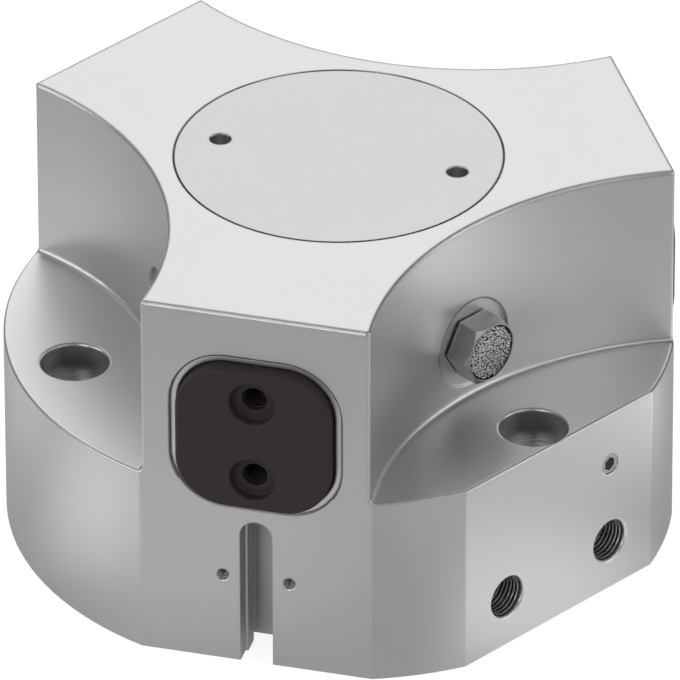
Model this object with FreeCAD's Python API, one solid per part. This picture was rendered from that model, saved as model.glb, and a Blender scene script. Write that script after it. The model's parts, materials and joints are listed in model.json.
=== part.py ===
import FreeCAD, Part
import math
import os

from FreeCAD import Vector

# Three-jaw pneumatic gripper with a wedge-hook drive.
# Millimetres, +Z up, origin at the centre of the mounting face, on the gripper's axis.
# The jaws point at -90, 30 and 150 degrees, the concave bays at -30, 90 and 210 degrees.

# Directions
frontAngle = -90.0
thirdTurn = 120.0
halfThird = thirdTurn / 2
jawAngles = {"front": frontAngle, "right": frontAngle + thirdTurn, "left": frontAngle + 2 * thirdTurn}
bayAngles = [angle + halfThird for angle in jawAngles.values()]
portAngle = frontAngle + halfThird
plugAngle = portAngle + 2 * thirdTurn

# Fits
fitGap = 0.02
grooveGap = 0.1

# Retaining ring and base cover, the lowest of the stack that makes up the height
ringBottom = 1.35
ringThickness = 1.8
ringSideGap = 0.05
ringWidth = 4.0
ringGrooveDepth = 1.6
ringOuterGap = 0.1
ringLugRadius = 3.2
ringLugHole = 1.25
ringLugTurn = 9.0
baseCoverThickness = 5.8
baseCoverBottom = ringBottom + ringThickness + ringSideGap
baseCoverTop = baseCoverBottom + baseCoverThickness

# Piston between its bumpers
pistonStroke = 10.0
pistonThickness = 10.0
bumperInset = 11.0
bumperWidth = 4.0
bumperGroove = 1.4
bumperProud = 0.6
bumperRestGap = 0.15
pistonRest = baseCoverTop + bumperProud + bumperRestGap
pistonTop = pistonRest + pistonThickness
chamberTop = pistonTop + pistonStroke + bumperRestGap + bumperProud

# Partition, with its boss round the rod
partitionThickness = 4.1
partitionBossHeight = 3.4
partitionTop = chamberTop + partitionThickness
partitionBossTop = partitionTop + partitionBossHeight

# Wedge core, by its reach below and above the jaws' middle
coreFloorGap = 0.9
coreBelow = 16.25
coreAbove = 6.75
coreBottom = partitionTop + coreFloorGap
jawCentreHeight = coreBottom + coreBelow
coreTop = jawCentreHeight + coreAbove

# Top cover, clear of the raised core
coreTopGap = 1.1
coverSpigotLength = 2.9
coverThickness = 6.0
height = coreTop + pistonStroke + coreTopGap + coverSpigotLength + coverThickness

# Housing outline
bodyRadius = 65.3
jawFlatDepth = 4.2
portFlatDepth = 5.2
jawFlat = bodyRadius - jawFlatDepth
portFlat = bodyRadius - portFlatDepth
shelfHeight = 40.1
bayRadius = 68.9
bayWall = 36.2
edgeRound = 0.5
stripShare = 0.4
shelfFillet = 1.0

# Hook chamber and cover seat behind the bay walls
chamberWall = 5.7
chamberRadius = bayWall - chamberWall
coverLedge = 1.4
coverRadius = chamberRadius + coverLedge
coverGap = 0.12
topSealBottom = 0.5
topSealHeight = 1.8
topSealDepth = 1.5
spannerInset = 8.2
spannerHoleRadius = 2.1
spannerHoleDepth = 4.0

# Mounting screws down through the shelves
mountInset = 12.3
mountPitchRadius = bodyRadius - mountInset
mountHoleRadius = 4.5
mountSinkRadius = 6.65
mountSinkDepth = 7.1
mountSinkChamfer = 0.35

# Jaws and their windows
jawWidth = 30.6
jawTall = 30.6
jawCorner = 9.7
jawProud = 2.4
jawEdge = 0.45
jawGuideGap = 0.06
jawStroke = 6.0
windowRim = 1.8
windowDepth = 4.0
windowEdge = 0.5
wiperRecess = 0.6
wiperGap = 0.2
fingerHolePitch = 17.0
fingerHoleRadius = 2.5
fingerHoleDepth = 14.0
fingerSeatRadius = 4.5
fingerSeatDepth = 2.1
fingerSeatChamfer = 0.2

# Wedge hooks of the core and the jaws
coreFace = 17.0
coreSideGap = 3.5
coreRadius = chamberRadius - coreSideGap
driveGap = 0.1
hookBelow = 8.75
hookAbove = 5.25
hookBottom = jawCentreHeight - hookBelow
hookTop = jawCentreHeight + hookAbove
hookLip = 2.6
hookHeadDepth = 3.2
hookNeckWidth = 7.0
hookHeadWidth = 11.0
tongueWidth = 16.0
jawInnerEnd = 20.0
jawFaceGap = 0.5

# Rod through the partition
rodRadius = 12.0
rodGap = 0.04
bushWall = 1.5
rodSealLift = 0.9
rodSealHeight = 2.2
rodSealDepth = 2.6
bushLift = 0.6
bossWall = 2.0
bossSideGap = 1.0
bossTopGap = 0.6
guideBossGap = 0.5
rodSealBottom = chamberTop + rodSealLift
bushBottom = rodSealBottom + rodSealHeight + bushLift
partitionBossRadius = rodRadius + bushWall + bossWall
coreRecessRadius = partitionBossRadius + bossSideGap
coreRecessTop = partitionBossTop + bossTopGap
spigotRadius = 8.0
spigotLength = 3.6
spigotSealBottom = 1.0
spigotSealHeight = 1.6
spigotSealDepth = 1.1

# Piston bore and the piston's grooves
boreRadius = 40.0
bumperInner = boreRadius - bumperInset
pistonGap = 0.1
reliefDepth = 1.2
reliefHeight = 1.5
sealGrooveDepth = 3.4
sealGrooveLift = 0.5
sealGrooveHeight = 2.4
bandGrooveDepth = 1.4
bandGrooveHeight = 1.3
magnetLift = 0.6
magnetDrop = 0.4
magnetWidth = 2.2
sealGrooveRadius = boreRadius - sealGrooveDepth
bandGrooveRadius = boreRadius - bandGrooveDepth
sealGrooveBottom = reliefHeight + sealGrooveLift
sealGrooveTop = sealGrooveBottom + sealGrooveHeight
bandGrooveTop = pistonThickness - reliefHeight
bandGrooveBottom = bandGrooveTop - bandGrooveHeight
magnetGrooveBottom = sealGrooveTop + magnetLift
magnetGrooveTop = bandGrooveBottom - magnetDrop

# Piston screw
screwRadius = 5.0
screwHeadRadius = 8.0
screwHeadHeight = 5.0
screwSeatWeb = 0.8
screwHeadSink = pistonThickness - spigotLength - screwSeatWeb
screwSideGap = 0.3
screwEndGap = 2.0
screwSocketWidth = 8.0
screwSocketDepth = 3.0
screwLength = 20.0

# Base cover's seat and seal
coverSeatLedge = 2.0
coverBoreRadius = boreRadius + coverSeatLedge
coverSealLift = 1.8
coverSealHeight = 2.4
coverSealDepth = 2.0
coverSealBottom = baseCoverBottom + coverSealLift

# Sensor slots in the jaw flats
slotMouth = 6.5
slotMouthDepth = 3.8
slotNeck = 5.4
slotNeckDepth = 7.7
slotStep = 0.25
slotBulge = 0.1
slotPocket = 6.9
slotDepth = 10.5
slotTopGap = 2.55
slotTop = jawCentreHeight - jawTall / 2 - windowRim - slotTopGap
bracketHoleSpread = 6.6
bracketHoleHeight = 19.3
bracketHoleRadius = 1.25
bracketHoleDepth = 6.0

# Air ports, passages and plugs
portSpread = 14.1
portAboveCover = 1.95
portHeight = baseCoverTop + portAboveCover
portRadius = 4.28
portDepth = 9.0
portChamfer = 0.35
passageRadius = 1.5
passageBelowCeiling = 2.0
upperPassageHeight = chamberTop - passageBelowCeiling
riserInset = 7.5
riserRadial = portFlat - riserInset
grubRadius = 2.15
grubLength = 5.0
grubRecess = 0.2
grubSocketWidth = 2.5
grubSocketDepth = 2.5
grubSocketTurn = 30.0
ballGap = 0.05
ballHeight = 3.0

# Filter and plug in the bay walls
filterAboveShelf = 11.9
filterHeight = shelfHeight + filterAboveShelf
filterSpotRadius = 9.25
filterHexWidth = 12.0
filterHexLength = 5.4
filterFaceInset = 0.05
filterDiscRadius = 5.75
filterDiscDepth = 3.0
filterDiscInset = 0.05
filterShankRadius = 4.25
filterBore = 2.6
filterSpotDepth = 0.3
gasketThickness = 0.4
gasketRadius = 5.8
plugAboveShelf = 11.7
plugHeight = shelfHeight + plugAboveShelf
plugHeadRadius = 6.1
plugSinkDepth = 2.6
plugHeadThickness = 2.2
plugShankRadius = 4.25
plugSocketWidth = 5.0
plugSocketDepth = 3.2
shankInset = 0.3

# How far cutting tools run past the faces that they open
overrun = 1.0
bayBulge = 3.0
chamberBulge = 2.0


def turned(shape, angle):
    # A local part is drawn with +X radially outward, then turned to its place.
    copy = shape.copy()
    copy.rotate(Vector(0, 0, 0), Vector(0, 0, 1), angle)
    return copy


def discAt(radius, bottom, top):
    return Part.makeCylinder(radius, top - bottom, Vector(0, 0, bottom))


def ringAt(inner, outer, bottom, top):
    return discAt(outer, bottom, top).cut(discAt(inner, bottom, top))


def rodAlong(radius, start, end, side, level):
    # A round bar along local X at the given sideways place and height.
    return Part.makeCylinder(radius, end - start, Vector(start, side, level), Vector(1, 0, 0))


def coneAlong(first, second, start, end, side, level):
    return Part.makeCone(first, second, end - start, Vector(start, side, level), Vector(1, 0, 0))


def hexAlong(width, start, end, side, level, turn=0.0):
    # A hexagonal bar along local X, by its width across flats.
    corner = width / math.sqrt(3)
    points = []
    for step in range(7):
        around = math.radians(60 * step + turn)
        points.append(Vector(start, side + corner * math.cos(around), level + corner * math.sin(around)))
    return Part.Face(Part.makePolygon(points)).extrude(Vector(end - start, 0, 0))


def roundedSquare(wide, tall, corner, start, end, level):
    # A bar along local X with a rounded square section centred at the given height.
    half = wide / 2 - corner
    rise = tall / 2 - corner
    slant = corner / math.sqrt(2)
    edges = []
    for side, up in ((1, 1), (-1, 1), (-1, -1), (1, -1)):
        centre = Vector(start, side * half, level + up * rise)
        beside = centre + Vector(0, side * corner, 0)
        above = centre + Vector(0, 0, up * corner)
        middle = centre + Vector(0, side * slant, up * slant)
        first, last = (beside, above) if side == up else (above, beside)
        if edges:
            edges.append(Part.LineSegment(edges[-1].EndPoint, first))
        edges.append(Part.Arc(first, middle, last))
    edges.append(Part.LineSegment(edges[-1].EndPoint, edges[0].StartPoint))
    wire = Part.Wire([edge.toShape() for edge in edges])
    return Part.Face(wire).extrude(Vector(end - start, 0, 0))


def frontEdges(shape, offset, slack=0.01):
    # Edges that lie whole in the plane at local X = offset.
    found = []
    for edge in shape.Edges:
        box = edge.BoundBox
        if abs(box.XMin - offset) < slack and abs(box.XMax - offset) < slack:
            found.append(edge)
    return found


def save(name, shape):
    if shape.ShapeType == "Compound" and len(shape.Solids) == 1:
        shape = shape.Solids[0]
    if not shape.isValid() or not shape.Solids:
        raise ValueError("bad solid: " + name)
    shape.exportStep("parts/" + name + ".step")
    print(name, len(shape.Solids), round(shape.Volume, 1))


def outlineRound():
    # A strip of round body left between a jaw flat and a bay limits the rounding of its edges.
    flatEdge = math.acos(jawFlat / bodyRadius)
    centre = bayWall + bayRadius
    spread = (bodyRadius ** 2 + centre ** 2 - bayRadius ** 2) / (2 * bodyRadius * centre)
    bayEdge = math.radians(halfThird) - math.acos(spread)
    strip = (bayEdge - flatEdge) * bodyRadius
    return edgeRound if strip <= 0 else min(edgeRound, strip * stripShare)


def makeOutline():
    # Round lower body, three towers above the shelf, flats for the jaws and the ports.
    body = discAt(bodyRadius, 0, height)
    reach = 2 * bodyRadius
    for angle in jawAngles.values():
        slab = Part.makeBox(reach, 2 * reach, height, Vector(jawFlat, -reach, 0))
        body = body.cut(turned(slab, angle))
    for angle in bayAngles:
        bay = Part.makeCylinder(bayRadius, height, Vector(bayWall + bayRadius, 0, shelfHeight))
        body = body.cut(turned(bay, angle))
    slab = Part.makeBox(reach, 2 * reach, shelfHeight, Vector(portFlat, -reach, 0))
    body = body.cut(turned(slab, portAngle))
    body = body.removeSplitter()
    # The shelf's inner corner is rounded before the outer edges are.
    inner = []
    for edge in body.Edges:
        box = edge.BoundBox
        curve = edge.Curve
        level = abs(box.ZMin - shelfHeight) < 0.01 and abs(box.ZMax - shelfHeight) < 0.01
        if level and hasattr(curve, "Radius") and abs(curve.Radius - bayRadius) < 0.01:
            inner.append(edge)
    body = body.makeFillet(shelfFillet, inner)
    sharp = []
    for edge in body.Edges:
        box = edge.BoundBox
        level = box.ZMax - box.ZMin < 0.01
        onTop = level and abs(box.ZMax - height) < 0.01
        onFoot = level and box.ZMax < 0.01
        curve = edge.Curve
        middle = edge.valueAt((edge.FirstParameter + edge.LastParameter) / 2)
        farOut = math.hypot(middle.x, middle.y) > portFlat - edgeRound
        onShelf = level and abs(box.ZMax - shelfHeight) < 0.01 and farOut
        upright = not level and box.XMax - box.XMin < 0.01 and box.YMax - box.YMin < 0.01
        if onTop or onFoot or onShelf or upright:
            sharp.append(edge)
    return body.makeFillet(outlineRound(), sharp)


def slotCutter():
    # Half of the slot's section, extruded up to the arch and turned round the arch's axis.
    arch = slotTop - slotMouth / 2
    mouth = slotMouth / 2
    neck = slotNeck / 2
    pocket = slotPocket / 2
    back = jawFlat - slotDepth
    front = jawFlat + overrun
    step = jawFlat - slotMouthDepth
    flare = jawFlat - slotNeckDepth
    bend = Vector((flare + back) / 2, (neck + pocket) / 2 + slotBulge, 0)
    profile = [
        Part.LineSegment(Vector(front, 0, 0), Vector(front, mouth, 0)),
        Part.LineSegment(Vector(front, mouth, 0), Vector(step, mouth, 0)),
        Part.LineSegment(Vector(step, mouth, 0), Vector(step - slotStep, neck, 0)),
        Part.LineSegment(Vector(step - slotStep, neck, 0), Vector(flare, neck, 0)),
        Part.Arc(Vector(flare, neck, 0), bend, Vector(back, pocket, 0)),
        Part.LineSegment(Vector(back, pocket, 0), Vector(back, 0, 0)),
        Part.LineSegment(Vector(back, 0, 0), Vector(front, 0, 0)),
    ]
    half = Part.Face(Part.Wire([line.toShape() for line in profile]))
    half.translate(Vector(0, 0, -overrun))
    straight = half.extrude(Vector(0, 0, arch + overrun))
    straight = straight.fuse(straight.mirror(Vector(0, 0, 0), Vector(0, 1, 0)))
    half.translate(Vector(0, 0, arch + overrun))
    arched = half.revolve(Vector(0, 0, arch), Vector(1, 0, 0), 180)
    return straight.fuse(arched).removeSplitter()


def makeHousing():
    body = makeOutline()
    # Central bores: base cover seat, piston bore, partition with boss, hook chamber, cover seat.
    body = body.cut(discAt(coverBoreRadius, -overrun, baseCoverTop))
    body = body.cut(discAt(boreRadius, 0, chamberTop))
    grooveRadius = coverBoreRadius + ringGrooveDepth
    body = body.cut(discAt(grooveRadius, ringBottom - ringSideGap, ringBottom + ringThickness + ringSideGap))
    chamber = discAt(chamberRadius, partitionTop, height + overrun)
    chamber = chamber.cut(discAt(partitionBossRadius, partitionTop, partitionBossTop))
    body = body.cut(chamber)
    coverSeat = height - coverThickness
    body = body.cut(discAt(coverRadius + coverGap, coverSeat, height + overrun))
    body = body.cut(discAt(rodRadius + rodGap, chamberTop - overrun, partitionBossTop + overrun))
    body = body.cut(discAt(rodRadius + rodSealDepth, rodSealBottom, rodSealBottom + rodSealHeight))
    body = body.cut(discAt(rodRadius + bushWall, bushBottom, partitionBossTop + overrun))
    body = body.cut(ringAt(bumperInner, bumperInner + bumperWidth, chamberTop - overrun,
                           chamberTop + bumperGroove))
    # Jaw guideways, windows, sensor slots and bracket holes.
    guideWide = jawWidth + 2 * jawGuideGap
    guideTall = jawTall + 2 * jawGuideGap
    windowWide = jawWidth + 2 * windowRim
    windowTall = jawTall + 2 * windowRim
    slot = slotCutter()
    for angle in jawAngles.values():
        corner = jawCorner + jawGuideGap
        guide = roundedSquare(guideWide, guideTall, corner, partitionBossRadius + guideBossGap,
                              jawFlat + overrun, jawCentreHeight)
        body = body.cut(turned(guide, angle))
        window = roundedSquare(windowWide, windowTall, jawCorner + windowRim,
                               jawFlat - windowDepth, jawFlat + overrun, jawCentreHeight)
        body = body.cut(turned(window, angle))
        body = body.cut(turned(slot, angle))
        for side in (-bracketHoleSpread, bracketHoleSpread):
            hole = rodAlong(bracketHoleRadius, jawFlat - bracketHoleDepth, jawFlat + overrun, side,
                            bracketHoleHeight)
            body = body.cut(turned(hole, angle))
    # Mounting holes with their counterbores.
    for angle in bayAngles:
        place = Vector(mountPitchRadius, 0, 0)
        hole = Part.makeCylinder(mountHoleRadius, height, place + Vector(0, 0, -overrun))
        floor = shelfHeight - mountSinkDepth
        sink = Part.makeCylinder(mountSinkRadius, mountSinkDepth + overrun, place + Vector(0, 0, floor))
        rim = Part.makeCone(mountSinkRadius, mountSinkRadius + 2 * mountSinkChamfer, 2 * mountSinkChamfer,
                            place + Vector(0, 0, shelfHeight - mountSinkChamfer))
        body = body.cut(turned(hole.fuse([sink, rim]), angle))
    body = body.cut(turned(airCutter(), portAngle))
    # Seats of the filter and of the plug.
    spotFace = bayWall - filterSpotDepth
    spot = rodAlong(filterSpotRadius, spotFace, bayWall + bayBulge, 0, filterHeight)
    inner = chamberRadius - chamberBulge
    shank = rodAlong(filterShankRadius + fitGap, inner, bayWall + overrun, 0, filterHeight)
    body = body.cut(turned(spot.fuse(shank), portAngle))
    sink = rodAlong(plugHeadRadius + fitGap, bayWall - plugSinkDepth, bayWall + bayBulge, 0, plugHeight)
    shank = rodAlong(plugShankRadius + fitGap, inner, bayWall + overrun, 0, plugHeight)
    return body.cut(turned(sink.fuse(shank), plugAngle))


def airCutter():
    # Two ports at the same height. One opens into the lower chamber, the other
    # climbs a riser to the upper chamber, whose cross drilling the grub screw closes.
    cuts = []
    bottom = portFlat - portDepth
    for side in (-portSpread, portSpread):
        cuts.append(rodAlong(portRadius, bottom, portFlat + overrun, side, portHeight))
        cuts.append(coneAlong(portRadius, portRadius + 2 * portChamfer, portFlat - portChamfer,
                              portFlat + portChamfer, side, portHeight))
    boreEdge = math.sqrt(boreRadius ** 2 - portSpread ** 2)
    inner = boreEdge - 2 * overrun
    cuts.append(rodAlong(passageRadius, inner, bottom + overrun, -portSpread, portHeight))
    cuts.append(rodAlong(passageRadius, inner, portFlat - grubLength, portSpread, upperPassageHeight))
    cuts.append(rodAlong(grubRadius + fitGap, portFlat - grubLength - grubRecess, portFlat + overrun,
                         portSpread, upperPassageHeight))
    riser = Part.makeCylinder(passageRadius, upperPassageHeight + overrun,
                              Vector(riserRadial, portSpread, -overrun))
    cuts.append(riser)
    cutter = cuts[0]
    return cutter.fuse(cuts[1:])


def makeTopCover():
    seat = height - coverThickness
    cover = discAt(coverRadius, seat, height)
    spigotRadiusOut = chamberRadius - fitGap
    cover = cover.fuse(discAt(spigotRadiusOut, seat - coverSpigotLength, seat))
    low = seat - coverSpigotLength + topSealBottom
    groove = ringAt(spigotRadiusOut - topSealDepth, chamberRadius + overrun, low, low + topSealHeight)
    cover = cover.cut(groove)
    for side in (-1, 1):
        place = Vector(side * (coverRadius - spannerInset), 0, height - spannerHoleDepth)
        cover = cover.cut(Part.makeCylinder(spannerHoleRadius, spannerHoleDepth + overrun, place))
    return cover.removeSplitter()


def hookLine(level):
    # Radial place of the core's inclined face at rest, at the given height.
    return coreFace - (level - jawCentreHeight) * jawStroke / pistonStroke


def slantedBar(inner, outer, low, high, width):
    # A bar of the given width whose inner and outer ends follow the core's incline.
    points = [
        Vector(hookLine(low) + inner, -width / 2, low),
        Vector(hookLine(low) + outer, -width / 2, low),
        Vector(hookLine(high) + outer, -width / 2, high),
        Vector(hookLine(high) + inner, -width / 2, high),
    ]
    points.append(points[0])
    return Part.Face(Part.makePolygon(points)).extrude(Vector(0, width, 0))


def makeCore():
    core = discAt(coreRadius, coreBottom, coreTop)
    far = 3 * coreRadius
    slack = coreTop - coreBottom
    for angle in jawAngles.values():
        outside = slantedBar(0, far, coreBottom - slack, coreTop + slack, 2 * far)
        core = core.cut(turned(outside, angle))
        mouth = slantedBar(-hookLip - driveGap, overrun, coreBottom - slack, coreTop + slack,
                           hookNeckWidth + 2 * driveGap)
        head = slantedBar(-hookLip - hookHeadDepth - driveGap, -hookLip, coreBottom - slack,
                          coreTop + slack, hookHeadWidth + 2 * driveGap)
        core = core.cut(turned(mouth.fuse(head), angle))
    core = core.cut(discAt(coreRecessRadius, coreBottom, coreRecessTop))
    core = core.fuse(discAt(rodRadius, pistonTop, coreRecessTop))
    spigotBottom = pistonTop - spigotLength
    core = core.fuse(discAt(spigotRadius - fitGap, spigotBottom + fitGap, pistonTop))
    low = spigotBottom + spigotSealBottom
    core = core.cut(ringAt(spigotRadius - spigotSealDepth, rodRadius, low, low + spigotSealHeight))
    seat = pistonRest + screwHeadSink
    thread = discAt(screwRadius, seat, seat + screwLength + screwEndGap)
    return core.cut(thread).removeSplitter()


def makeJaw():
    front = jawFlat + jawProud
    jaw = roundedSquare(jawWidth, jawTall, jawCorner, jawInnerEnd, front, jawCentreHeight)
    jaw = jaw.makeChamfer(jawEdge, frontEdges(jaw, front))
    # The inner end follows the core's incline, below the tongue.
    low = jawCentreHeight - jawTall
    high = jawCentreHeight + jawTall
    jaw = jaw.cut(slantedBar(-3 * jawInnerEnd, jawFaceGap, low, high, 2 * jawWidth))
    tongue = slantedBar(jawFaceGap, 3 * jawInnerEnd, hookBottom, hookTop, tongueWidth)
    behind = Part.makeBox(jawInnerEnd + overrun, tongueWidth, high, Vector(0, -tongueWidth / 2, 0))
    neck = slantedBar(-hookLip - driveGap, jawFaceGap + overrun, hookBottom, hookTop, hookNeckWidth)
    head = slantedBar(-hookLip - hookHeadDepth, -hookLip - driveGap, hookBottom, hookTop, hookHeadWidth)
    jaw = jaw.fuse([tongue.common(behind), neck, head])
    for side in (-0.5, 0.5):
        level = jawCentreHeight + side * fingerHolePitch
        hole = rodAlong(fingerHoleRadius, front - fingerHoleDepth, front + overrun, 0, level)
        seat = rodAlong(fingerSeatRadius, front - fingerSeatDepth, front + overrun, 0, level)
        rim = coneAlong(fingerSeatRadius, fingerSeatRadius + 2 * fingerSeatChamfer,
                        front - fingerSeatChamfer, front + fingerSeatChamfer, 0, level)
        jaw = jaw.cut(hole.fuse([seat, rim]))
    return jaw.removeSplitter()


def makeWiper():
    face = jawFlat - wiperRecess
    outer = roundedSquare(jawWidth + 2 * windowRim, jawTall + 2 * windowRim, jawCorner + windowRim,
                          jawFlat - windowDepth, face, jawCentreHeight)
    inner = roundedSquare(jawWidth + 2 * wiperGap, jawTall + 2 * wiperGap, jawCorner + wiperGap,
                          jawFlat - windowDepth - overrun, face + overrun, jawCentreHeight)
    wiper = outer.cut(inner)
    return wiper.makeFillet(windowEdge, frontEdges(wiper, face))


def makePiston():
    outer = boreRadius - pistonGap
    piston = discAt(boreRadius - reliefDepth, pistonRest, pistonTop)
    piston = piston.fuse(discAt(outer, pistonRest + reliefHeight, pistonTop - reliefHeight))
    grooves = (
        (sealGrooveRadius, sealGrooveBottom, sealGrooveTop),
        (sealGrooveRadius, magnetGrooveBottom, magnetGrooveTop),
        (bandGrooveRadius, bandGrooveBottom, bandGrooveTop),
    )
    for radius, low, high in grooves:
        piston = piston.cut(ringAt(radius, boreRadius, pistonRest + low, pistonRest + high))
    seat = pistonRest + screwHeadSink
    piston = piston.cut(discAt(screwHeadRadius + screwSideGap, pistonRest - overrun, seat))
    piston = piston.cut(discAt(screwRadius + screwSideGap, pistonRest, pistonTop))
    piston = piston.cut(discAt(spigotRadius, pistonTop - spigotLength, pistonTop + overrun))
    return piston.removeSplitter()


def makeScrew():
    seat = pistonRest + screwHeadSink
    head = discAt(screwHeadRadius, seat - screwHeadHeight, seat)
    screw = head.fuse(discAt(screwRadius - fitGap, seat, seat + screwLength))
    socket = hexAlong(screwSocketWidth, -overrun, screwSocketDepth, 0, 0)
    socket.rotate(Vector(0, 0, 0), Vector(0, 1, 0), -90)
    socket.translate(Vector(0, 0, seat - screwHeadHeight))
    return screw.cut(socket)


def makeBaseCover():
    cover = discAt(coverBoreRadius - fitGap, baseCoverBottom, baseCoverTop)
    groove = ringAt(coverBoreRadius - coverSealDepth, coverBoreRadius + overrun, coverSealBottom,
                    coverSealBottom + coverSealHeight)
    cover = cover.cut(groove)
    return cover.cut(ringAt(bumperInner, bumperInner + bumperWidth, baseCoverTop - bumperGroove,
                            baseCoverTop + overrun))


def makeRetainingRing():
    outer = coverBoreRadius + ringGrooveDepth - ringOuterGap
    inner = coverBoreRadius - ringWidth + ringGrooveDepth
    top = ringBottom + ringThickness
    ring = ringAt(inner, outer, ringBottom, top)
    # The gap between the lugs faces the ports.
    opening = Part.makeBox(bodyRadius, 2 * ringLugRadius, ringThickness,
                           Vector(0, -ringLugRadius, ringBottom))
    ring = ring.cut(turned(opening, portAngle))
    for side in (-1, 1):
        lug = Part.makeCylinder(ringLugRadius, ringThickness, Vector(inner, 0, ringBottom))
        hole = Part.makeCylinder(ringLugHole, ringThickness, Vector(inner, 0, ringBottom))
        angle = portAngle + side * ringLugTurn
        ring = ring.fuse(turned(lug, angle)).cut(turned(hole, angle))
    return ring.removeSplitter()


def makeFilterBody():
    seat = bayWall - filterSpotDepth + gasketThickness
    end = seat + filterHexLength
    body = hexAlong(filterHexWidth, seat, end, 0, filterHeight)
    # Turned chamfer on the hexagon's outer end.
    face = filterHexWidth / 2 - filterFaceInset
    blank = coneAlong(face + filterHexLength, face, seat, end, 0, filterHeight)
    body = body.common(blank)
    body = body.fuse(rodAlong(filterShankRadius, chamberRadius + shankInset, seat, 0, filterHeight))
    body = body.cut(rodAlong(filterDiscRadius, end - filterDiscDepth, end + overrun, 0, filterHeight))
    return body.cut(rodAlong(filterBore, chamberRadius, end, 0, filterHeight)).removeSplitter()


def makeFilterDisc():
    end = bayWall - filterSpotDepth + gasketThickness + filterHexLength
    return rodAlong(filterDiscRadius - fitGap, end - filterDiscDepth, end - filterDiscInset, 0, filterHeight)


def makeFilterGasket():
    seat = bayWall - filterSpotDepth
    outer = rodAlong(gasketRadius, seat, seat + gasketThickness, 0, filterHeight)
    return outer.cut(rodAlong(filterShankRadius + fitGap, seat, seat + gasketThickness, 0, filterHeight))


def makeBayPlug():
    floor = bayWall - plugSinkDepth
    end = floor + plugHeadThickness
    plug = rodAlong(plugHeadRadius, floor, end, 0, plugHeight)
    plug = plug.fuse(rodAlong(plugShankRadius, chamberRadius + shankInset, floor, 0, plugHeight))
    return plug.cut(hexAlong(plugSocketWidth, end - plugSocketDepth, end + overrun, 0, plugHeight))


def makePassageScrew():
    end = portFlat - grubRecess
    screw = rodAlong(grubRadius, end - grubLength, end, portSpread, upperPassageHeight)
    socket = hexAlong(grubSocketWidth, end - grubSocketDepth, end + overrun, portSpread, upperPassageHeight,
                      grubSocketTurn)
    return screw.cut(socket)


def makeDrillBall():
    place = Vector(riserRadial, portSpread, ballHeight)
    return Part.makeSphere(passageRadius - ballGap, place)


os.makedirs("parts", exist_ok=True)

save("housing", makeHousing())
save("top_cover", makeTopCover())
coverLow = height - coverThickness - coverSpigotLength + topSealBottom
save("top_cover_seal", ringAt(chamberRadius - fitGap - topSealDepth, chamberRadius, coverLow + grooveGap,
                              coverLow + topSealHeight - grooveGap))

jawShape = makeJaw()
wiperShape = makeWiper()
for side, angle in jawAngles.items():
    save("jaw_" + side, turned(jawShape, angle))
    save("jaw_wiper_" + side, turned(wiperShape, angle))

save("wedge_core", makeCore())
save("piston", makePiston())
save("piston_screw", makeScrew())
pistonOuter = boreRadius - pistonGap / 2
save("piston_seal", ringAt(sealGrooveRadius, pistonOuter, pistonRest + sealGrooveBottom + grooveGap,
                           pistonRest + sealGrooveTop - grooveGap))
save("guide_band", ringAt(bandGrooveRadius, pistonOuter, pistonRest + bandGrooveBottom + grooveGap,
                          pistonRest + bandGrooveTop - grooveGap))
spigotLow = pistonTop - spigotLength + spigotSealBottom
save("spigot_seal", ringAt(spigotRadius - spigotSealDepth, spigotRadius, spigotLow + grooveGap,
                           spigotLow + spigotSealHeight - grooveGap))
save("magnet_ring", ringAt(sealGrooveRadius, sealGrooveRadius + magnetWidth,
                           pistonRest + magnetGrooveBottom + grooveGap,
                           pistonRest + magnetGrooveTop - grooveGap))

save("rod_bush", ringAt(rodRadius + rodGap, rodRadius + bushWall, bushBottom, partitionBossTop))
save("rod_seal", ringAt(rodRadius + rodGap, rodRadius + rodSealDepth, rodSealBottom + grooveGap,
                        rodSealBottom + rodSealHeight - grooveGap))
save("upper_bumper", ringAt(bumperInner + grooveGap, bumperInner + bumperWidth - grooveGap,
                            chamberTop - bumperProud, chamberTop + bumperGroove))
save("lower_bumper", ringAt(bumperInner + grooveGap, bumperInner + bumperWidth - grooveGap,
                            baseCoverTop - bumperGroove, baseCoverTop + bumperProud))
save("base_cover", makeBaseCover())
save("base_cover_seal", ringAt(coverBoreRadius - coverSealDepth, coverBoreRadius, coverSealBottom + grooveGap,
                               coverSealBottom + coverSealHeight - grooveGap))
save("retaining_ring", makeRetainingRing())

save("filter_body", turned(makeFilterBody(), portAngle))
save("filter_disc", turned(makeFilterDisc(), portAngle))
save("filter_gasket", turned(makeFilterGasket(), portAngle))
save("bay_plug", turned(makeBayPlug(), plugAngle))
save("passage_screw", turned(makePassageScrew(), portAngle))
save("drill_ball", turned(makeDrillBall(), portAngle))
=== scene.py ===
import json
import math
import random

import bmesh
import bpy
from mathutils import Matrix, Vector


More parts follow.
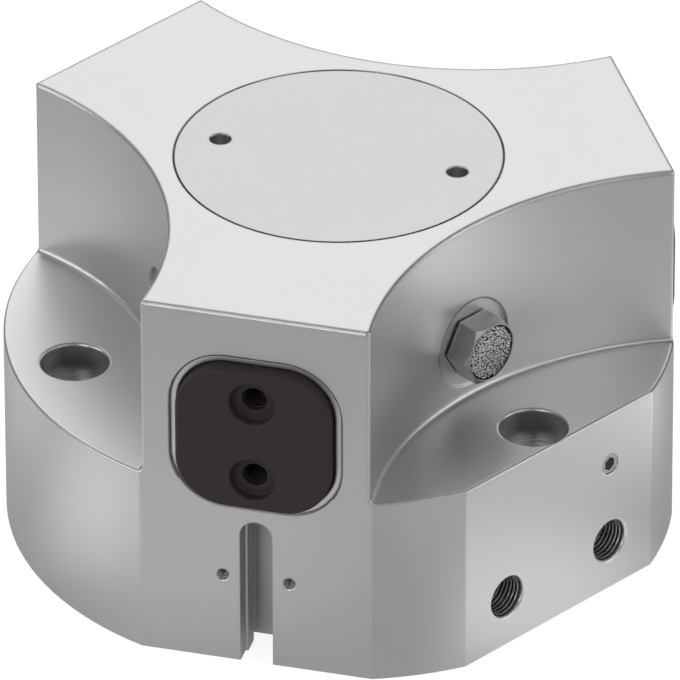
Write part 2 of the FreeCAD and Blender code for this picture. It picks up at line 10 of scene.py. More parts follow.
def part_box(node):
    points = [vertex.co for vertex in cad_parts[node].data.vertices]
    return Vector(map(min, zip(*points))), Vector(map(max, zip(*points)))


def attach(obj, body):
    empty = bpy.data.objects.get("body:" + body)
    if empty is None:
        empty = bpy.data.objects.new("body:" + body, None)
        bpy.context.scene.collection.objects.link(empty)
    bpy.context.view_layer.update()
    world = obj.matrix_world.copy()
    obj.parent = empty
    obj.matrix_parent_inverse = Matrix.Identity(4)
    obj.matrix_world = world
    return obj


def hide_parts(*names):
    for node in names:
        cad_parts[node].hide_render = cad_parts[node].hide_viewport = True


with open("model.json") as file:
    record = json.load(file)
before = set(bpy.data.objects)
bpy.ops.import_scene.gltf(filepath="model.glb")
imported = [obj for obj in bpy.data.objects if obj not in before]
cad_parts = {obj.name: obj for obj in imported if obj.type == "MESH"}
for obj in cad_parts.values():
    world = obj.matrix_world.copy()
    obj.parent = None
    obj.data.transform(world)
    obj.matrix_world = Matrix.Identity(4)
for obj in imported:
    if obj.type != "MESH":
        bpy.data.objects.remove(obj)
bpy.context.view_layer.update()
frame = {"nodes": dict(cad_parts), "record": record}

mm = 0.001
white = (1.0, 1.0, 1.0, 1.0)
print("frame loaded:", len(frame["nodes"]), "nodes")


# Object helpers

def linkObject(name, data):
    thing = bpy.data.objects.new(name, data)
    bpy.context.scene.collection.objects.link(thing)
    return thing


def meshObject(name, mesh, used):
    data = bpy.data.meshes.new(name)
    mesh.to_mesh(data)
    mesh.free()
    for material in used:
        data.materials.append(material)
    return linkObject(name, data)


# Camera: long lens at the photograph's angle, solved from the body's straight edges

cameraView = {
    "azimuth": 15.261,
    "elevation": 32.071,
    "roll": -0.175,
    "distance": 2813.65 * mm,
    "lens": 765.8,
    "sensorWidth": 36,
    "clip": (0.1, 50),
    "aimHeight": 39.25 * mm,
    "aimRight": 0.146 * mm,
    "aimUp": -2.388 * mm,
}


def addCamera(view):
    azimuth = math.radians(view["azimuth"])
    elevation = math.radians(view["elevation"])
    back = Vector((math.sin(azimuth) * math.cos(elevation), -math.cos(azimuth) * math.cos(elevation),
                   math.sin(elevation)))
    right = Vector((math.cos(azimuth), math.sin(azimuth), 0))
    up = back.cross(right)
    aim = Vector((0, 0, view["aimHeight"])) + right * view["aimRight"] + up * view["aimUp"]
    turn = Matrix.Rotation(math.radians(view["roll"]), 3, back)
    data = bpy.data.cameras.new("photoCamera")
    data.sensor_width = view["sensorWidth"]
    data.lens = view["lens"]
    data.clip_start, data.clip_end = view["clip"]
    camera = linkObject("photoCamera", data)
    place = Matrix((turn @ right, turn @ up, back)).transposed().to_4x4()
    place.translation = aim + back * view["distance"]
    camera.matrix_world = place
    bpy.context.scene.camera = camera


addCamera(cameraView)
print("camera placed")


# Node helpers

def newMaterial(name, shaderKind="ShaderNodeBsdfPrincipled"):
    material = bpy.data.materials.new(name)
    material.use_nodes = True
    tree = material.node_tree
    tree.nodes.clear()
    output = tree.nodes.new("ShaderNodeOutputMaterial")
    shader = tree.nodes.new(shaderKind)
    tree.links.new(shader.outputs[0], output.inputs["Surface"])
    return material, tree, shader


def newGroup(name, inputs, outputs):
    # Every input is a number with its default; an output is a Float or a Vector.
    group = bpy.data.node_groups.new(name, "ShaderNodeTree")
    for label, value in inputs.items():
        socket = group.interface.new_socket(name=label, in_out="INPUT", socket_type="NodeSocketFloat")
        socket.default_value = value
    for label, kind in outputs.items():
        group.interface.new_socket(name=label, in_out="OUTPUT", socket_type="NodeSocket" + kind)
    return group, group.nodes.new("NodeGroupInput"), group.nodes.new("NodeGroupOutput")


def useGroup(tree, group, values):
    node = tree.nodes.new("ShaderNodeGroup")
    node.node_tree = group
    for label, value in values.items():
        node.inputs[label].default_value = value
    return node


def feed(tree, socket, value):
    # A number, point or colour is set on the socket itself, and anything else is linked to it.
    if isinstance(value, (int, float, tuple)):
        socket.default_value = value
    else:
        tree.links.new(value, socket)


def mathNode(tree, operation, *values, clamp=False):
    node = tree.nodes.new("ShaderNodeMath")
    node.operation = operation
    node.use_clamp = clamp
    for socket, value in zip(node.inputs, values):
        feed(tree, socket, value)
    return node.outputs["Value"]


def vectorMeasure(tree, operation, first, second):
    # One number from two vectors, such as their distance
    node = tree.nodes.new("ShaderNodeVectorMath")
    node.operation = operation
    feed(tree, node.inputs[0], first)
    feed(tree, node.inputs[1], second)
    return node.outputs["Value"]


def rangeNode(tree, value, fromLow, fromHigh, toLow, toHigh, smooth=False):
    node = tree.nodes.new("ShaderNodeMapRange")
    if smooth:
        node.interpolation_type = "SMOOTHSTEP"
    limits = {"Value": value, "From Min": fromLow, "From Max": fromHigh, "To Min": toLow, "To Max": toHigh}
    for label, number in limits.items():
        feed(tree, node.inputs[label], number)
    return node.outputs["Result"]


def mixNode(tree, kind, factor, first, second):
    node = tree.nodes.new("ShaderNodeMix")
    node.data_type = kind
    for label, value in (("Factor", factor), ("A", first), ("B", second)):
        feed(tree, node.inputs[label], value)
    return node.outputs["Result"]


def mixColours(tree, factor, first, second):
    return mixNode(tree, "RGBA", factor, (*first, 1.0), (*second, 1.0))


def noiseNode(tree, scale, detail=2.0, roughness=0.5):
    node = tree.nodes.new("ShaderNodeTexNoise")
    place = tree.nodes.new("ShaderNodeTexCoord")
    tree.links.new(place.outputs["Object"], node.inputs["Vector"])
    for label, value in (("Scale", scale), ("Detail", detail), ("Roughness", roughness)):
        feed(tree, node.inputs[label], value)
    return node.outputs["Fac"]


def axisNodes(tree):
    # The point's place along X, Y and Z, and its reach from the Z axis, in the object's own coordinates
    place = tree.nodes.new("ShaderNodeTexCoord")
    split = tree.nodes.new("ShaderNodeSeparateXYZ")
    tree.links.new(place.outputs["Object"], split.inputs["Vector"])
    x, y, height = split.outputs
    flat = mathNode(tree, "ADD", mathNode(tree, "POWER", x, 2.0), mathNode(tree, "POWER", y, 2.0))
    return x, y, height, mathNode(tree, "SQRT", flat)


# Shared finishes

def makeGrainGroup():
    # Fine blasted or cast grain with slow patches of tone over it
    group, source, sink = newGroup("surfaceGrain", {
        "Grain Scale": 4000.0,
        "Patch Scale": 40.0,
        "Patch Amount": 0.03,
    }, {"Tone": "Float", "Height": "Float"})
    fineAmount = 0.04
    grain = noiseNode(group, source.outputs["Grain Scale"], detail=3.0, roughness=0.6)
    patch = noiseNode(group, source.outputs["Patch Scale"])
    slow = mathNode(group, "MULTIPLY", mathNode(group, "SUBTRACT", patch, 0.5), source.outputs["Patch Amount"])
    fine = mathNode(group, "MULTIPLY", mathNode(group, "SUBTRACT", grain, 0.5), fineAmount)
    tone = mathNode(group, "ADD", mathNode(group, "ADD", slow, fine), 1.0)
    group.links.new(tone, sink.inputs["Tone"])
    group.links.new(grain, sink.inputs["Height"])
    return group


def makeEdgeGroup():
    # Mask of the outer edges, where handling polishes the finish and the finishes paint their edge colour, and
    # the normal of the rounded edge
    group, source, sink = newGroup("edgePolish", {
        "Radius": 0.4 * mm,
        "Gain": 4.0,
        "Breakup": 900.0,
        "Left Sharp": 0.0,
    }, {"Mask": "Float", "Normal": "Vector"})
    leastEdgeShare = 0.3        # added to the noise, so that no part of an edge goes quite without its polish and edge colour
    bevel = group.nodes.new("ShaderNodeBevel")
    bevel.samples = 8
    group.links.new(source.outputs["Radius"], bevel.inputs["Radius"])
    surface = group.nodes.new("ShaderNodeNewGeometry")
    turn = vectorMeasure(group, "DOT_PRODUCT", bevel.outputs["Normal"], surface.outputs["Normal"])
    bend = mathNode(group, "SUBTRACT", 1.0, turn)
    strong = mathNode(group, "MULTIPLY", bend, source.outputs["Gain"])
    edgeBreakup = mathNode(group, "ADD", noiseNode(group, source.outputs["Breakup"]), leastEdgeShare)
    mask = mathNode(group, "MULTIPLY", strong, edgeBreakup, clamp=True)
    rounded = mathNode(group, "SUBTRACT", 1.0, source.outputs["Left Sharp"], clamp=True)
    group.links.new(mathNode(group, "MULTIPLY", mask, rounded), sink.inputs["Mask"])
    normal = mixNode(group, "VECTOR", rounded, surface.outputs["Normal"], bevel.outputs["Normal"])
    group.links.new(normal, sink.inputs["Normal"])
    return group


def makeZoneGroup():
    # Lower rims of the three jaw windows, and the rim of the top face
    group, source, sink = newGroup("bodyZones", {
        "Sill Reach": 60 * mm,
        "Sill Half Width": 20 * mm,
        "Sill Low": 30 * mm,
        "Sill High": 40 * mm,
        "Rim Reach": 30 * mm,
        "Rim Height": 80 * mm,
    }, {"Sill": "Float", "Rim": "Float"})
    frontWindow = math.pi / 2      # turns the front window, which looks along -Y, to angle 0
    halfThird = math.pi / 3        # folding the circle in sixths lays the three windows on each other
    x, y, height, reach = axisNodes(group)
    angle = mathNode(group, "ARCTAN2", y, x)
    folded = mathNode(group, "PINGPONG", mathNode(group, "ADD", angle, frontWindow), halfThird)
    outward = mathNode(group, "MULTIPLY", reach, mathNode(group, "COSINE", folded))
    aside = mathNode(group, "MULTIPLY", reach, mathNode(group, "SINE", folded))
    zones = {
        "Sill": ((outward, "GREATER_THAN", "Sill Reach"), (aside, "LESS_THAN", "Sill Half Width"),
                 (height, "GREATER_THAN", "Sill Low"), (height, "LESS_THAN", "Sill High")),
        "Rim": ((reach, "GREATER_THAN", "Rim Reach"), (height, "GREATER_THAN", "Rim Height")),
    }
    for zone, limits in zones.items():
        mask = 1.0
        for value, operation, label in limits:
            inside = mathNode(group, operation, value, source.outputs[label])
            mask = mathNode(group, "MULTIPLY", inside, mask)
        group.links.new(mask, sink.inputs[zone])
    return group


def makeTurnedGroup():
    # Concentric tool marks round the object's Z axis
    group, source, sink = newGroup("turningMarks", {
        "Pitch": 0.25 * mm,
        "Waver": 0.4,
    }, {"Tone": "Float", "Height": "Float", "Reach": "Float"})
    reach = axisNodes(group)[-1]
    noise = group.nodes.new("ShaderNodeTexNoise")
    noise.noise_dimensions = "1D"
    noise.inputs["Detail"].default_value = 4.0
    noise.inputs["Scale"].default_value = 1.0
    group.links.new(mathNode(group, "DIVIDE", reach, source.outputs["Pitch"]), noise.inputs["W"])
    centred = mathNode(group, "SUBTRACT", noise.outputs["Fac"], 0.5)
    swing = mathNode(group, "MULTIPLY", centred, source.outputs["Waver"])
    group.links.new(mathNode(group, "ADD", swing, 1.0), sink.inputs["Tone"])
    group.links.new(noise.outputs["Fac"], sink.inputs["Height"])
    group.links.new(reach, sink.inputs["Reach"])
    return group


def makeRecessShadeGroup():
    # Painted shade in slots, bores and corners: the colour darkens where less of the surroundings is open
    group, source, sink = newGroup("recessShade", {
        "Distance": 10 * mm,
        "Deep Tone": 0.5,
    }, {"Tone": "Float", "Exposed": "Float"})
    # Shares of the surroundings that are open: the painted shade is full below the first and gone above the
    # second, and edges are dull below the third and polished above the fourth.
    shadeFades = (0.1, 0.62)
    edgesShine = (0.65, 0.9)
    around = group.nodes.new("ShaderNodeAmbientOcclusion")
    around.samples = 8
    around.only_local = True
    group.links.new(source.outputs["Distance"], around.inputs["Distance"])
    openShare = around.outputs["AO"]
    tone = rangeNode(group, openShare, *shadeFades, source.outputs["Deep Tone"], 1.0)
    group.links.new(tone, sink.inputs["Tone"])
    group.links.new(rangeNode(group, openShare, *edgesShine, 0.0, 1.0), sink.inputs["Exposed"])
    return group


grainGroup = makeGrainGroup()
edgeGroup = makeEdgeGroup()
turnedGroup = makeTurnedGroup()
recessShadeGroup = makeRecessShadeGroup()
zoneGroup = makeZoneGroup()
print("finish groups ready")


# Finishes, one dictionary for each slot of the record

plainFinish = {        # what a finish has where its own entry says nothing else
    "patchScale": 40.0, "patch": 0.03, "bump": 0.1, "bumpDepth": 0.02 * mm, "specular": 0.5,
    "edgeRadius": 0.4 * mm, "edgeGain": 4.0, "edgePolish": 0.45,
}

finishes = {
    # Body: the lighter edge colour is partly polish from handling and partly a painted highlight along the
    # rounded edges
    "machined_aluminium": {
        "colour": (0.79, 0.79, 0.79), "edgeWearAndPaintedLight": (0.88, 0.88, 0.88), "metallic": 1.0, "roughness": (0.36, 0.42),
        "grainScale": 5000.0, "patch": 0.02, "bump": 0.06,
        "edgeGain": 12.0, "edgeRadius": 0.65 * mm, "edgePolish": 0.36, "rimRadius": 1.4 * mm,
        "recessReach": 12 * mm, "recessTone": 0.66,
        "zones": {"Sill Reach": 59.5 * mm, "Sill Half Width": 18.4 * mm, "Sill Low": 33.2 * mm,
                  "Sill High": 40.0 * mm, "Rim Reach": 33.2 * mm, "Rim Height": 77.0 * mm},
    },
    # Cover: the near-black edge colour at its outer rim is a painted shadow line in the gap to the body
    "turned_aluminium": {
        "colour": (0.7, 0.695, 0.683), "edgeWearAndPaintedLight": (0.11, 0.11, 0.11), "metallic": 1.0, "roughness": (0.36, 0.42),
        "grainScale": 5000.0, "patch": 0.015, "bump": 0.05, "turnedPitch": 0.22 * mm, "turnedWaver": 0.03,
        "edgeGain": 40.0, "edgeRadius": 0.6 * mm, "rimStart": 31.5 * mm,
    },
    "dark_jaw": {
        "colour": (0.074, 0.062, 0.059), "edgeWearAndPaintedLight": (0.1, 0.09, 0.086), "metallic": 0.1, "roughness": (0.5, 0.6),
        "grainScale": 6000.0, "patch": 0.12, "bump": 0.1, "specular": 0.2, "edgeGain": 2.0,
    },
    "wiper_grey": {
        "colour": (0.93, 0.93, 0.925), "edgeWearAndPaintedLight": (0.95, 0.95, 0.95), "metallic": 0.9, "roughness": (0.34, 0.42),
        "grainScale": 6000.0, "bump": 0.08, "edgeRadius": 0.15 * mm,
    },
    "tool_steel": {
        "colour": (0.62, 0.62, 0.62), "edgeWearAndPaintedLight": (0.75, 0.75, 0.75), "metallic": 1.0, "roughness": (0.3, 0.42),
        "grainScale": 3000.0, "bump": 0.15,
    },
    "plated_steel": {
        "colour": (0.57, 0.562, 0.54), "edgeWearAndPaintedLight": (0.72, 0.71, 0.69), "metallic": 1.0, "roughness": (0.33, 0.43),
        "grainScale": 3500.0, "patch": 0.08, "bump": 0.15, "patchScale": 150.0,
    },
    "piston_aluminium": {
        "colour": (0.66, 0.66, 0.67), "edgeWearAndPaintedLight": (0.8, 0.8, 0.8), "metallic": 1.0, "roughness": (0.3, 0.4),
        "grainScale": 5000.0, "turnedPitch": 0.3 * mm, "turnedWaver": 0.05,
    },
    "bearing_bronze": {
        "colour": (0.58, 0.4, 0.2), "edgeWearAndPaintedLight": (0.7, 0.5, 0.28), "metallic": 1.0, "roughness": (0.35, 0.5),
        "grainScale": 2500.0, "patch": 0.1, "bump": 0.2,
    },
    "seal_rubber": {
        "colour": (0.025, 0.025, 0.026), "edgeWearAndPaintedLight": (0.05, 0.05, 0.05), "metallic": 0.0, "roughness": (0.6, 0.75),
        "grainScale": 3000.0, "patch": 0.2, "bump": 0.2, "specular": 0.35,
    },
    "band_plastic": {
        "colour": (0.09, 0.09, 0.1), "edgeWearAndPaintedLight": (0.14, 0.14, 0.15), "metallic": 0.0, "roughness": (0.45, 0.6),
        "grainScale": 2500.0, "patch": 0.1, "bump": 0.15,
    },
    "sintered_metal": {
        "colour": (0.97, 0.965, 0.95), "edgeWearAndPaintedLight": (0.98, 0.98, 0.97), "metallic": 1.0, "roughness": (0.3, 0.5),
        "grainScale": 6000.0, "patch": 0.3, "patchScale": 1500.0, "bump": 0.3,
    },
}

# Ground between the sintered grains, painted near black as the shade in the pores
poreShade = {
    "colour": (0.015, 0.015, 0.014), "edgeWearAndPaintedLight": (0.03, 0.03, 0.03), "metallic": 0.0, "roughness": (0.7, 0.9),
    "grainScale": 6000.0, "patch": 0.3, "patchScale": 1500.0, "specular": 0.1,
}

noiseStretch = (0.3, 0.7)      # noise seldom leaves this part of its scale


def grainRoughness(tree, grain, limits):
    return rangeNode(tree, grain.outputs["Height"], *noiseStretch, *limits)


def finishMaterial(name, own):
    look = plainFinish | own
    material, tree, shader = newMaterial(name)
    grain = useGroup(tree, grainGroup, {"Grain Scale": look["grainScale"], "Patch Scale": look["patchScale"],
                                        "Patch Amount": look["patch"]})
    edge = useGroup(tree, edgeGroup, {"Radius": look["edgeRadius"], "Gain": look["edgeGain"]})
    tone = grain.outputs["Tone"]
    height = grain.outputs["Height"]
    mask = edge.outputs["Mask"]
    if "zones" in look:
        zone = useGroup(tree, zoneGroup, look["zones"])
        radius = rangeNode(tree, zone.outputs["Rim"], 0.0, 1.0, look["edgeRadius"], look["rimRadius"])
        tree.links.new(zone.outputs["Sill"], edge.inputs["Left Sharp"])
        tree.links.new(radius, edge.inputs["Radius"])
    if "turnedPitch" in look:
        turned = useGroup(tree, turnedGroup, {"Pitch": look["turnedPitch"], "Waver": look["turnedWaver"]})
        tone = mathNode(tree, "MULTIPLY", tone, turned.outputs["Tone"])
        height = mathNode(tree, "ADD", height, turned.outputs["Height"])
        # Only the cover's outer rim takes the edge colour, a painted shadow line there
        if "rimStart" in look:
            outerRim = mathNode(tree, "GREATER_THAN", turned.outputs["Reach"], look["rimStart"])
            mask = mathNode(tree, "MULTIPLY", mask, outerRim)
    # Painted shade: the colour darkens in slots, bores and corners, and edges there lose their polish and edge
    # colour
    if "recessTone" in look:
        recess = useGroup(tree, recessShadeGroup, {"Distance": look["recessReach"], "Deep Tone": look["recessTone"]})
        tone = mathNode(tree, "MULTIPLY", tone, recess.outputs["Tone"])
        mask = mathNode(tree, "MULTIPLY", mask, recess.outputs["Exposed"])
    # Edges take the edge colour: wear on most finishes, a painted highlight on the body's edges and a painted
    # shadow line round the cover's rim
    shade = tree.nodes.new("ShaderNodeVectorMath")
    shade.operation = "SCALE"
    tree.links.new(mixColours(tree, mask, look["colour"], look["edgeWearAndPaintedLight"]), shade.inputs["Vector"])
    tree.links.new(tone, shade.inputs["Scale"])
    tree.links.new(shade.outputs["Vector"], shader.inputs["Base Color"])
    rough = grainRoughness(tree, grain, look["roughness"])
    polish = rangeNode(tree, mask, 0.0, 1.0, 1.0, look["edgePolish"])
    tree.links.new(mathNode(tree, "MULTIPLY", rough, polish), shader.inputs["Roughness"])
    bump = tree.nodes.new("ShaderNodeBump")
    bump.inputs["Strength"].default_value = look["bump"]
    bump.inputs["Distance"].default_value = look["bumpDepth"]
    tree.links.new(height, bump.inputs["Height"])
    tree.links.new(edge.outputs["Normal"], bump.inputs["Normal"])
    tree.links.new(bump.outputs["Normal"], shader.inputs["Normal"])
    shader.inputs["Metallic"].default_value = look["metallic"]
    shader.inputs["Specular IOR Level"].default_value = look["specular"]
    return material


# A cut thread: crests painted light as a painted highlight, and grooves painted dark as painted shade. A higher
# sharpness makes the crest's bright band narrower.

threadFinishes = {
    "metal": {"crest": (0.95, 0.95, 0.95), "root": (0.02, 0.02, 0.02), "metallic": 1.0,
              "roughness": (0.3, 0.42), "sharpness": 4.0},
    "small": {"crest": (0.95, 0.95, 0.95), "root": (0.3, 0.3, 0.3), "metallic": 1.0,
              "roughness": (0.25, 0.35), "sharpness": 1.2},
    "dark": {"crest": (0.05, 0.045, 0.043), "root": (0.006, 0.006, 0.006), "metallic": 0.1,
             "roughness": (0.45, 0.6), "sharpness": 5.0},
}
threadGrain = {"Grain Scale": 3000.0, "Patch Scale": 400.0, "Patch Amount": 0.1}


def threadMaterial(name, look):
    material, tree, shader = newMaterial(name)
    crest = tree.nodes.new("ShaderNodeAttribute")
    crest.attribute_name = "crest"
    grain = useGroup(tree, grainGroup, threadGrain)
    share = mathNode(tree, "POWER", crest.outputs["Fac"], look["sharpness"])
    bright = mathNode(tree, "MULTIPLY", share, grain.outputs["Tone"], clamp=True)
    # Painted highlight on the crests and painted shade in the grooves
    tree.links.new(mixColours(tree, bright, look["root"], look["crest"]), shader.inputs["Base Color"])
    tree.links.new(grainRoughness(tree, grain, look["roughness"]), shader.inputs["Roughness"])
    shader.inputs["Metallic"].default_value = look["metallic"]
    return material


materials = {slot: finishMaterial(slot, look) for slot, look in finishes.items()}
poreShadeMaterial = finishMaterial("sinter_pore_shade", poreShade)
threadMaterials = {name: threadMaterial("thread_" + name, look) for name, look in threadFinishes.items()}

for entry in frame["record"]["subparts"]:
    node = frame["nodes"][entry["node"]]
    node.data.materials.clear()
    node.data.materials.append(materials[entry["material_slot"]])
print("finishes on", len(frame["nodes"]), "nodes")


# Piece helpers

def radialFrame(angle, reach, side, height):
    # Local X points radially outward at the given angle, and the origin is at the given place.
    turn = Matrix.Rotation(math.radians(angle), 4, "Z")
    return turn @ Matrix.Translation(Vector((reach, side, height)))


def addPiece(name, mesh, body, used):
    mesh.normal_update()
    piece = meshObject(name, mesh, used)
    for face in piece.data.polygons:
        face.use_smooth = True
    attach(piece, body)
    return piece


# Places on the body and the jaws that the pieces below are set to

bodyPlan = {
    "jawAngles": {"front": -90.0, "right": 30.0, "left": 150.0},
    "portAngle": -30.0,
    "portFlat": 60.1 * mm,
    "portSpread": 14.1 * mm,
    "portHeight": 10.95 * mm,
    "jawFlat": 61.1 * mm,
    "bracketSpread": 6.6 * mm,
    "bracketHeight": 19.3 * mm,
    "jawFace": 63.5 * mm,
    "jawHeight": 51.75 * mm,
    "fingerPitch": 17.0 * mm,
    "fingerSeatDepth": 2.1 * mm,
}


# Threads: a helical ridge standing in each plain hole

threads = {
    "port": {"radius": 4.28 * mm, "depth": 0.34 * mm, "pitch": 0.907 * mm, "length": 7.2 * mm,
             "lead": 0.04 * mm, "chamfer": 0.35 * mm, "root": 0.03 * mm, "stepsPerTurn": 72},
    "bracket": {"radius": 1.25 * mm, "depth": 0.16 * mm, "pitch": 0.5 * mm, "length": 5.0 * mm,
                "lead": 0.1 * mm, "chamfer": 0.0, "root": 0.02 * mm, "stepsPerTurn": 40},
    "finger": {"radius": 2.5 * mm, "depth": 0.3 * mm, "pitch": 1.0 * mm, "length": 10.0 * mm,
               "lead": 0.3 * mm, "chamfer": 0.0, "root": 0.03 * mm, "stepsPerTurn": 48},
}

# The ridge's section is a flat-topped wedge, with half its foot and half its crest as shares of the pitch.
ridge = {
    "halfFoot": 0.5,
    "halfCrest": 0.1,
    "taperPart": 3,          # each end tapers off over this part of a turn: 3 is a third
}


def addThread(mesh, place, thread):
    turns = (thread["length"] - thread["pitch"]) / thread["pitch"]
    steps = int(turns * thread["stepsPerTurn"])
    fade = thread["stepsPerTurn"] // ridge["taperPart"]
    crestLayer = mesh.verts.layers.float.get("crest") or mesh.verts.layers.float.new("crest")
    halfFoot = thread["pitch"] * ridge["halfFoot"]
    halfCrest = thread["pitch"] * ridge["halfCrest"]
    foot = thread["radius"] + thread["root"]
    rings = []
    for step in range(steps + 1):
        around = 2 * math.pi * step / thread["stepsPerTurn"]
        along = -thread["lead"] - halfFoot - thread["pitch"] * step / thread["stepsPerTurn"]
        taper = min(1.0, (step + 1) / fade, (steps + 1 - step) / fade)
        crest = thread["radius"] - thread["depth"] * taper
        ring = []
        for reach, shift in ((foot, halfFoot), (crest, halfCrest), (crest, -halfCrest), (foot, -halfFoot)):
            # Inside the mouth's chamfer the ridge stands on the cone.
            out = reach + max(0.0, thread["chamfer"] + along + shift)
            spot = Vector((along + shift, out * math.cos(around), out * math.sin(around)))
            vertex = mesh.verts.new(place @ spot)
            vertex[crestLayer] = 1.0 if reach == crest else 0.0
            ring.append(vertex)
        rings.append(ring)
    for first, second in zip(rings, rings[1:]):
        for corner in range(4):
            after = (corner + 1) % 4
            mesh.faces.new((first[corner], second[corner], second[after], first[after]))
    mesh.faces.new(rings[0])
    mesh.faces.new(reversed(rings[-1]))


def addThreadPiece(name, places, kind, body, finish):
    mesh = bmesh.new()
    for place in places:
        addThread(mesh, place, threads[kind])
    addPiece(name, mesh, body, [threadMaterials[finish]])


def threadPieces(plan):
    for name, side in (("port_thread_left", -1), ("port_thread_right", 1)):
        place = radialFrame(plan["portAngle"], plan["portFlat"], side * plan["portSpread"], plan["portHeight"])
        addThreadPiece(name, [place], "port", "body", "metal")
    for jaw, angle in plan["jawAngles"].items():
        places = [radialFrame(angle, plan["jawFlat"], side * plan["bracketSpread"], plan["bracketHeight"])
                  for side in (-1, 1)]
        addThreadPiece("bracket_threads_" + jaw, places, "bracket", "body", "small")
        places = [radialFrame(angle, plan["jawFace"] - plan["fingerSeatDepth"], 0,
                              plan["jawHeight"] + side * plan["fingerPitch"] / 2) for side in (-1, 1)]
        addThreadPiece("finger_threads_" + jaw, places, "finger", "jaw_" + jaw, "dark")


threadPieces(bodyPlan)
print("threads cut")


# Sintered disc: beads pressed together in the filter's face

sinter = {
    "grainRadius": 0.17 * mm,
    "spacing": 0.42 * mm,
    "rowStep": 0.866,        # of the spacing, so that the rows nest
    "jitter": 0.8,
    "sizeSwing": 0.5,
    "stretch": 0.5,
    "drop": 0.4,             # grain radii that a bead may lie deeper
    "poreDepth": 1.6,        # grain radii from the face to the dark ground between the beads
    "rimGap": 0.1 * mm,
    "rimSegments": 64,
    "seed": 7,
}


def sinteredDisc(plan, look):
    low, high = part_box("filter_disc")
    draw = random.Random(look["seed"])
    turn = Matrix.Rotation(math.radians(plan["portAngle"]), 4, "Z")
    back = turn.inverted()
    radius = (high.z - low.z) / 2
    middle = back @ ((high + low) / 2)
    # The node's own vertices give the reach of its two faces along the bay's axis.
    reaches = [(back @ vertex.co).x for vertex in frame["nodes"]["filter_disc"].data.vertices]
    front, rear = max(reaches), min(reaches)
    poreLevel = front - look["grainRadius"] * look["poreDepth"]
    mesh = bmesh.new()
    ground = bmesh.ops.create_cone(mesh, cap_ends=True, segments=look["rimSegments"], radius1=radius,
                                   radius2=radius, depth=poreLevel - rear)
    lying = Matrix.Rotation(math.radians(90), 4, "Y")
    seat = turn @ Matrix.Translation(Vector(((poreLevel + rear) / 2, middle.y, middle.z))) @ lying
    bmesh.ops.transform(mesh, matrix=seat, verts=ground["verts"])
    for face in mesh.faces:
        face.material_index = 1        # the ground takes the painted pore shade
    rows = int(radius / look["spacing"]) + 2        # two to spare, as the rows nest
    for row in range(-rows, rows + 1):
        for column in range(-rows, rows + 1):
            y = (column + 0.5 * (row % 2)) * look["spacing"]
            z = row * look["spacing"] * look["rowStep"]
            y += (draw.random() - 0.5) * look["jitter"] * look["spacing"]
            z += (draw.random() - 0.5) * look["jitter"] * look["spacing"]
            size = look["grainRadius"] * (1 + (draw.random() - 0.5) * look["sizeSwing"])
            longer = 1 + draw.random() * look["stretch"]
            if math.hypot(y, z) > radius - look["rimGap"] - size * longer:
                continue
            drop = draw.random() * look["grainRadius"] * look["drop"]
            spot = turn @ Matrix.Translation(Vector((front - size - drop, middle.y + y, middle.z + z)))
            spot = spot @ Matrix.Rotation(draw.random() * math.pi, 4, "X") @ Matrix.Diagonal((1, longer, 1, 1))
            bead = bmesh.ops.create_icosphere(mesh, subdivisions=1, radius=size)
            bmesh.ops.transform(mesh, matrix=spot, verts=bead["verts"])
    used = [materials["sintered_metal"], poreShadeMaterial]
    piece = addPiece("sintered_grains", mesh, "body", used)
    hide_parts("filter_disc")


sinteredDisc(bodyPlan, sinter)
print("sintered disc packed")


# Stage: pale floor and soft studio light

stage = {
    "floorSize": 6.0,
    "floorTone": 0.55,
    "cameraGlow": 0.85,
    # Brighter patches that only mirrored light sees: X and Y of the middle, full and faded radius, strength
    "mirrorPatches": (
        (0.0, 0.0, 150.0 * mm, 600.0 * mm, 0.185),
        (68.0 * mm, -38.0 * mm, 10.0 * mm, 45.0 * mm, 0.42),
        (128.0 * mm, -4.0 * mm, 10.0 * mm, 45.0 * mm, 0.4),
        (130.0 * mm, 40.0 * mm, 10.0 * mm, 45.0 * mm, 0.97),
        (-20.0 * mm, -110.0 * mm, 15.0 * mm, 60.0 * mm, 0.15),
        (-85.0 * mm, -75.0 * mm, 10.0 * mm, 50.0 * mm, 0.43),
        (-125.0 * mm, -10.0 * mm, 10.0 * mm, 55.0 * mm, 0.27),
        (95.0 * mm, -127.0 * mm, 8.0 * mm, 32.0 * mm, 0.35),
    ),
}


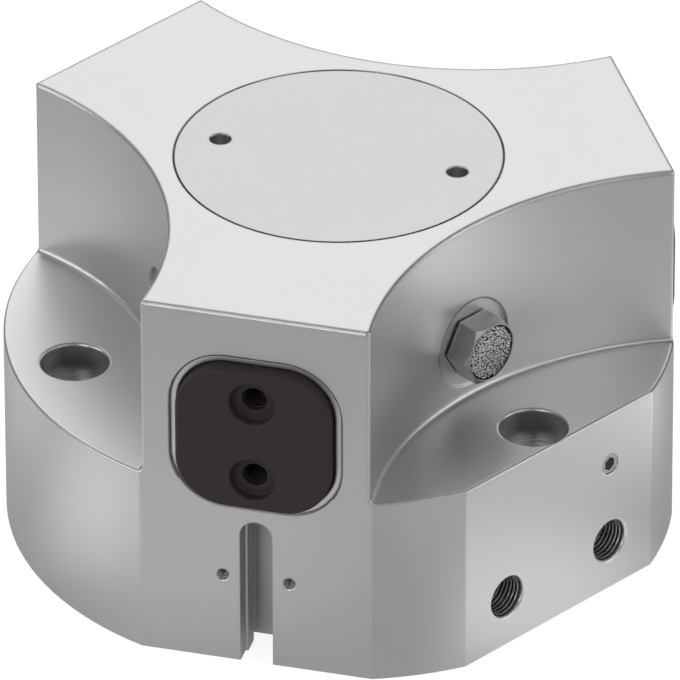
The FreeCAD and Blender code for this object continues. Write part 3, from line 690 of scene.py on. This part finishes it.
def addFloor(look):
    material, tree, both = newMaterial("paleFloor", "ShaderNodeAddShader")
    diffuse = tree.nodes.new("ShaderNodeBsdfDiffuse")
    tone = look["floorTone"]
    diffuse.inputs["Color"].default_value = (tone, tone, tone, 1.0)
    glow = tree.nodes.new("ShaderNodeEmission")
    glow.inputs["Color"].default_value = white
    path = tree.nodes.new("ShaderNodeLightPath")
    seen = mathNode(tree, "MULTIPLY", path.outputs["Is Camera Ray"], look["cameraGlow"])
    bounced = mathNode(tree, "MAXIMUM", path.outputs["Is Glossy Ray"], path.outputs["Is Transmission Ray"])
    place = tree.nodes.new("ShaderNodeTexCoord")
    level = 0.0
    for x, y, full, faded, strength in look["mirrorPatches"]:
        away = vectorMeasure(tree, "DISTANCE", place.outputs["Object"], (x, y, 0))
        patch = rangeNode(tree, away, faded, full, 0.0, strength, smooth=True)
        level = mathNode(tree, "ADD", patch, level)
    mirrored = mathNode(tree, "MULTIPLY", bounced, level)
    tree.links.new(mathNode(tree, "MAXIMUM", seen, mirrored), glow.inputs["Strength"])
    tree.links.new(diffuse.outputs["BSDF"], both.inputs[0])
    tree.links.new(glow.outputs["Emission"], both.inputs[1])
    mesh = bmesh.new()
    half = look["floorSize"] / 2
    corners = ((-half, -half), (half, -half), (half, half), (-half, half))
    mesh.faces.new([mesh.verts.new((x, y, 0)) for x, y in corners])
    meshObject("paleFloor", mesh, [material])


sky = {
    "ambient": 0.1,
    # Smooth round glows: azimuth, elevation, full and faded radius in degrees, and strength
    "softboxes": (
        (105.0, 35.0, 12.0, 34.0, 1.08),
        (158.0, 42.0, 4.0, 26.0, 0.37),
        (-104.0, 24.0, 7.0, 20.0, 2.2),
        (-30.0, 36.0, 8.0, 28.0, 0.85),
        (10.0, 8.0, 4.0, 26.0, 1.5),
        (-150.0, 8.0, 4.0, 26.0, 1.85),
    ),
}


def addSky(look):
    world = bpy.data.worlds.new("studioSky")
    bpy.context.scene.world = world
    world.use_nodes = True
    tree = world.node_tree
    background = tree.nodes["Background"]
    place = tree.nodes.new("ShaderNodeTexCoord")
    total = look["ambient"]
    for *angles, strength in look["softboxes"]:
        azimuth, elevation, full, faded = (math.radians(angle) for angle in angles)
        aim = (math.cos(azimuth) * math.cos(elevation), math.sin(azimuth) * math.cos(elevation),
               math.sin(elevation))
        near = vectorMeasure(tree, "DOT_PRODUCT", place.outputs["Generated"], aim)
        glow = rangeNode(tree, near, math.cos(faded), math.cos(full), 0.0, strength, smooth=True)
        total = mathNode(tree, "ADD", glow, total)
    tree.links.new(total, background.inputs["Strength"])
    background.inputs["Color"].default_value = white


addFloor(stage)
addSky(sky)
bpy.context.scene.view_settings.view_transform = "Standard"
print("stage lit")
